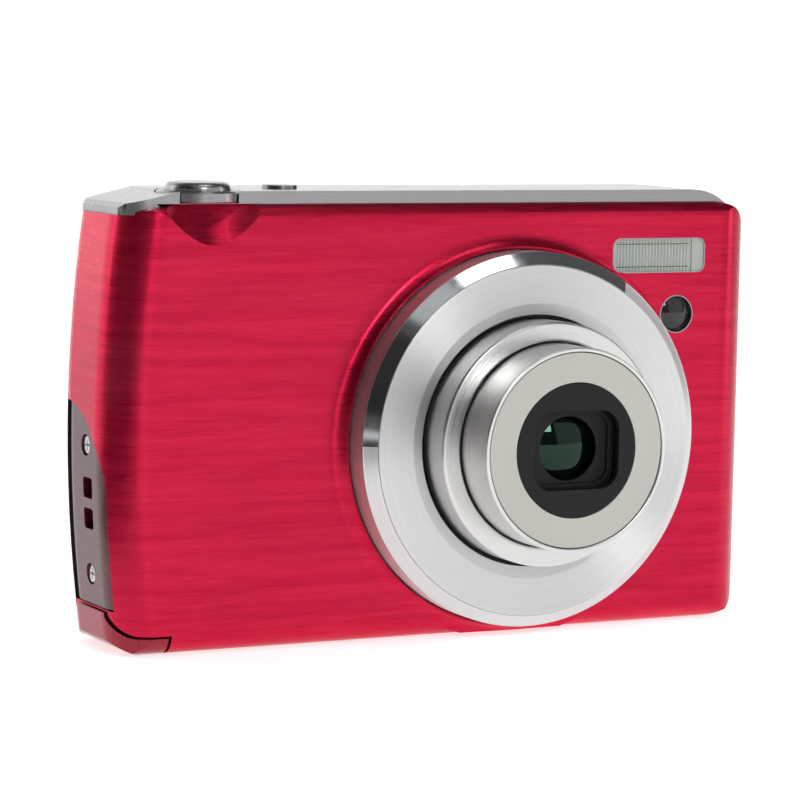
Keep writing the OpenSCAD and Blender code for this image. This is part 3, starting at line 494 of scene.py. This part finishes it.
def turned(name, outline, slot, node, edge=0.08, axis=None, segments=3, closed=True, replaced=True,
           span=None, about=None):
    """Spins an outline of (radius, y) round the lens axis, or of (radius, z) round an upright axis.

    The span keeps only part of the turn, in degrees, and about names another axis along Y.
    """
    bm = bmesh.new()
    if axis is None:
        mid_x, mid_z = about or (lens_x, lens_z)
        points = [(mid_x + r, y, mid_z) for r, y in outline]
        centre, direction = Vector((mid_x, 0, mid_z)), (0, 1, 0)
    else:
        points = [(axis[0] + r, axis[1], z) for r, z in outline]
        centre, direction = Vector((axis[0], axis[1], 0)), (0, 0, 1)
    verts = [bm.verts.new(Vector(p) * MM) for p in points]
    runs = len(verts) if closed else len(verts) - 1
    edges = [bm.edges.new((verts[i], verts[(i + 1) % len(verts)])) for i in range(runs)]
    if span:
        start = Matrix.Rotation(-radians(span[0]), 4, direction)
        bmesh.ops.rotate(bm, cent=centre * MM, matrix=start, verts=verts)
        cap = bm.faces.new(verts)
        bmesh.ops.spin(bm, geom=[cap], cent=centre * MM, axis=direction, angle=-radians(span[1] - span[0]),
                       steps=STEPS // 3, use_merge=False, use_duplicate=False)
    else:
        bmesh.ops.spin(bm, geom=verts + edges, cent=centre * MM, axis=direction, angle=2 * pi,
                       steps=STEPS, use_merge=True, use_duplicate=False)
    bmesh.ops.remove_doubles(bm, verts=bm.verts, dist=1e-6)
    bmesh.ops.recalc_face_normals(bm, faces=bm.faces)
    if edge:
        rounded(bm, sharp_edges(bm, TURNED_EDGE_ANGLE), edge, segments)
    print(name, "turned,", len(bm.faces), "faces")
    piece_from(bm, name, slot, node_body[node], [node] if replaced else (), TURNED_SHARP_ANGLE)


def arc(cx, cy, r, start, end, count=8):
    """Points on an arc of an outline, from one angle to another in degrees."""
    return [(cx + r * cos(radians(start + (end - start) * i / count)),
             cy + r * sin(radians(start + (end - start) * i / count))) for i in range(count + 1)]


# %% [markdown]
# ## Case and keys
# Pressed sheet has edges of about a tenth of a millimetre, moulded covers a little more, and screws less.
# Each shell takes its own radius, small enough to stay inside the frame's box.

# %% Case shells
softened("front_skin", 0.1, bead=0.35)
for shell, radius in (("back_cover", 0.12), ("top_plate", 0.1), ("side_panel", 0.08),
                      ("battery_door", 0.1), ("lcd_window", 0.12), ("case_screws", 0.04)):
    softened(shell, radius)

# %% [markdown]
# Keys are made to be touched, so their edges are rounder, with one more segment to keep the curve even.

# %% Keys on the back
for key in ("playback_button", "mode_button", "menu_button", "delete_button", "ok_button", "nav_ring"):
    softened(key, 0.25, segments=3)

# %% [markdown]
# ## Lens ring
# The ring's band, bevel and face are satin. Only the upper left of the bevel is polished, and shows dark
# and white reflections, so that stretch is its own piece: a thin strip spun over part of the turn.

# %% Lens ring
ring_face_y = low("lens_ring_face").y
ring_r = half_width("lens_ring_base")
bevel_r, bevel_y = ring_r - 1.6, ring_face_y + 1.4
bore_r = ring_r - 1.2
lip, strip, film = 0.12, 0.35, 0.02
dial_back_y = ring_face_y + 0.8
turned("lens_ring_band",
       [(bore_r, front_y), (ring_r, front_y), (ring_r, bevel_y), (ring_r - lip, bevel_y),
        (bevel_r - film, ring_face_y + lip), (bevel_r - film, dial_back_y), (bore_r, bevel_y + 0.4)],
       "ring_satin", "lens_ring_base", 0.06)
POLISHED_SPAN = (56, 180)
turned("lens_ring_crescent",
       [(ring_r, bevel_y + film), (bevel_r, ring_face_y + film), (bevel_r, ring_face_y + strip),
        (ring_r - strip, bevel_y + 0.1)],
       "polished_chrome", "lens_ring_base", 0.05, replaced=False, span=POLISHED_SPAN)
throat_r, face_inner_r, cone_depth = 16.75, 18.3, 0.55
dial_r = bevel_r - 0.06
turned("lens_ring_dial",
       [(throat_r, ring_face_y + cone_depth), (face_inner_r, ring_face_y + film),
        (dial_r, ring_face_y + film), (dial_r, dial_back_y), (throat_r, dial_back_y)],
       "ring_satin", "lens_ring_face", 0.08)

# %% [markdown]
# The two barrels are thin tubes with a front wall. The outer one's front edge is well rounded; the inner
# one ends in a narrow rim round the front plate and has a flange at its back.

# %% Barrels
outer_r = half_width("outer_barrel")
outer_y0, outer_y1 = low("outer_barrel").y, high("outer_barrel").y
outer_bore_r, front_wall_y = outer_r - 1, outer_y0 + 0.8
inner_r, rim_r = 13.4, 13.4 - 0.55
mouth_r = inner_r + 0.2
turned("outer_barrel_tube",
       [(mouth_r, outer_y0), (outer_r, outer_y0), (outer_r, outer_y1), (outer_bore_r, outer_y1),
        (outer_bore_r, front_wall_y), (mouth_r, front_wall_y)],
       "barrel_silver", "outer_barrel", 0.45, segments=5)
inner_y0, inner_y1 = low("inner_barrel").y, high("inner_barrel").y
flange_r, flange_y = inner_r + 1.4, inner_y1 - 0.7
turned("inner_barrel_tube",
       [(rim_r, inner_y0), (inner_r, inner_y0), (inner_r, flange_y), (flange_r, flange_y),
        (flange_r, inner_y1), (rim_r, inner_y1)],
       "barrel_silver", "inner_barrel", 0.16)

# %% [markdown]
# The front plate is a warm silver disc, set back a little inside the rim, with the black mask in its
# middle. It is a thin ring, so it is turned like the barrels.

# %% Front plate and mask
mask_r = 8.85 + 0.03
plate_r = rim_r - 0.1
plate_y0, plate_y1 = inner_y0 + 0.12, inner_y0 + 0.7
turned("front_plate_disc", [(mask_r, plate_y0), (plate_r, plate_y0), (plate_r, plate_y1), (mask_r, plate_y1)],
       "warm_silver", "front_plate", 0.05)
softened("lens_mask", 0.15)
softened("front_lens_cell", 0.15)

# %% [markdown]
# ## Flash window and lamp
# The flash window is moulded with upright ribs that spread the light sideways. Both openings in the
# skin have a bare metal edge, cut after the skin was coloured, so each shows as a thin bright line.

# %% Flash window
flash_low, flash_high = low("flash_window"), high("flash_window")
RIB_PITCH, RIB_DEPTH, RIB_STEPS, MARGIN, BAR = 0.5, 0.16, 5, 0.5, 1.9
pane_y = flash_low.y + RIB_DEPTH
ribs_x = flash_low.x + MARGIN
profile = [(flash_low.x, flash_low.y), (ribs_x, flash_low.y)]
rib_count = int((flash_high.x - flash_low.x - MARGIN - BAR) / RIB_PITCH)
for rib in range(rib_count):
    for step in range(RIB_STEPS):
        share = step / RIB_STEPS
        profile.append((ribs_x + (rib + share) * RIB_PITCH, pane_y - RIB_DEPTH * sin(pi * share)))
profile += [(ribs_x + rib_count * RIB_PITCH, pane_y), (flash_high.x - BAR, pane_y),
            (flash_high.x - BAR, flash_low.y), (flash_high.x, flash_low.y),
            (flash_high.x, flash_high.y), (flash_low.x, flash_high.y)]
bm = bmesh.new()
pane = bm.faces.new([bm.verts.new(Vector((x, y, flash_low.z)) * MM) for x, y in profile])
grown = bmesh.ops.extrude_face_region(bm, geom=[pane])
bmesh.ops.translate(bm, vec=Vector((0, 0, flash_high.z - flash_low.z)) * MM,
                    verts=[v for v in grown["geom"] if isinstance(v, bmesh.types.BMVert)])
bmesh.ops.triangulate(bm, faces=[f for f in bm.faces if len(f.verts) > 4])
bmesh.ops.recalc_face_normals(bm, faces=bm.faces)
piece_from(bm, "flash_pane", "flash_clear", node_body["flash_window"], ["flash_window"])
print("flash ribs", rib_count)

# %% [markdown]
# Two thin dark lines cross the ribs, near the top and the bottom of the window. Each is a long cube,
# sunk into the pane's face.

# %% Lines in the flash window
LINE, LINE_INSET, LINE_SINK, LINE_END = 0.1, 0.65, 0.06, 0.9
bm = bmesh.new()
for line_z in (flash_low.z + LINE_INSET, flash_high.z - LINE_INSET):
    made = bmesh.ops.create_cube(bm, size=1)["verts"]
    line_length = flash_high.x - flash_low.x - BAR - LINE_END
    bmesh.ops.scale(bm, vec=Vector((line_length, LINE, LINE)) * MM, verts=made)
    middle_x = (flash_low.x + flash_high.x - BAR) / 2
    bmesh.ops.translate(bm, vec=Vector((middle_x, flash_low.y + LINE_SINK, line_z)) * MM, verts=made)
piece_from(bm, "flash_frame_lines", "black_plastic", node_body["flash_window"])
print("flash lines", round(line_length, 2), "long")


# %% [markdown]
# The bare edge of an opening is a flat frame between two outlines. Its front is bridged from one outline
# to the other, and then drawn back through the skin.

# %% Cut edges
def corner_points(x0, z0, x1, z1, r, count=6):
    """A rounded rectangle seen from the front."""
    corners = ((x1 - r, z1 - r, 0), (x0 + r, z1 - r, 90), (x0 + r, z0 + r, 180), (x1 - r, z0 + r, 270))
    return [(cx + r * cos(radians(a + 90 * i / count)), cz + r * sin(radians(a + 90 * i / count)))
            for cx, cz, a in corners for i in range(count + 1)]


def frame_piece(name, outer, inner, y0, y1, slot, node):
    """A flat frame between two outlines with the same number of points."""
    bm = bmesh.new()
    loops = []
    for ring in (outer, inner):
        verts = [bm.verts.new(Vector((x, y0, z)) * MM) for x, z in ring]
        loops += [bm.edges.new((this, after)) for this, after in zip(verts, verts[1:] + verts[:1])]
    bmesh.ops.bridge_loops(bm, edges=loops)
    grown = bmesh.ops.extrude_face_region(bm, geom=bm.faces[:])
    bmesh.ops.translate(bm, vec=Vector((0, y1 - y0, 0)) * MM,
                        verts=[v for v in grown["geom"] if isinstance(v, bmesh.types.BMVert)])
    bmesh.ops.recalc_face_normals(bm, faces=bm.faces)
    print(name, len(bm.faces), "faces")
    piece_from(bm, name, slot, node_body[node])


edge_w, flash_corner_r = 0.16, 1
cut_y0, cut_y1 = front_y - 0.03, front_y + 0.6
frame_piece("flash_cut_edge",
            corner_points(flash_low.x - edge_w, flash_low.z - edge_w, flash_high.x + edge_w,
                          flash_high.z + edge_w, flash_corner_r + edge_w),
            corner_points(flash_low.x, flash_low.z, flash_high.x, flash_high.z, flash_corner_r),
            cut_y0, cut_y1, "satin_silver", "front_skin")
lamp_r = half_width("af_window")
turned("lamp_cut_edge",
       [(lamp_r, cut_y0), (lamp_r + edge_w, cut_y0), (lamp_r + edge_w, cut_y1), (lamp_r, cut_y1)],
       "satin_silver", "front_skin", 0.03, replaced=False,
       about=(middle("af_window", "x"), middle("af_window", "z")))

# %% [markdown]
# ## Shutter button
# The cap is slightly dished for the fingertip, with a rounded shoulder and a short skirt. It is turned
# round its own upright axis, from an open outline whose ends lie on that axis.

# %% Shutter button
shutter_top, shutter_r = high("shutter_button").z, half_width("shutter_button")
dish, shoulder_r, skirt, cap_wall, cap_depth = 0.12, 0.9, 1.6, 0.7, 1.2
turned("shutter_cap", [(0, shutter_top - dish), (shutter_r * 0.45, shutter_top - 0.1)]
       + arc(shutter_r - shoulder_r, shutter_top - shoulder_r, shoulder_r, 90, 0)
       + [(shutter_r, shutter_top - skirt), (shutter_r - cap_wall, shutter_top - skirt),
          (shutter_r - cap_wall, shutter_top - cap_depth), (0, shutter_top - cap_depth)],
       "satin_silver", "shutter_button", 0, closed=False,
       axis=(middle("shutter_button", "x"), middle("shutter_button", "y")))

# %% [markdown]
# ## End

# %% End
print("script finished")
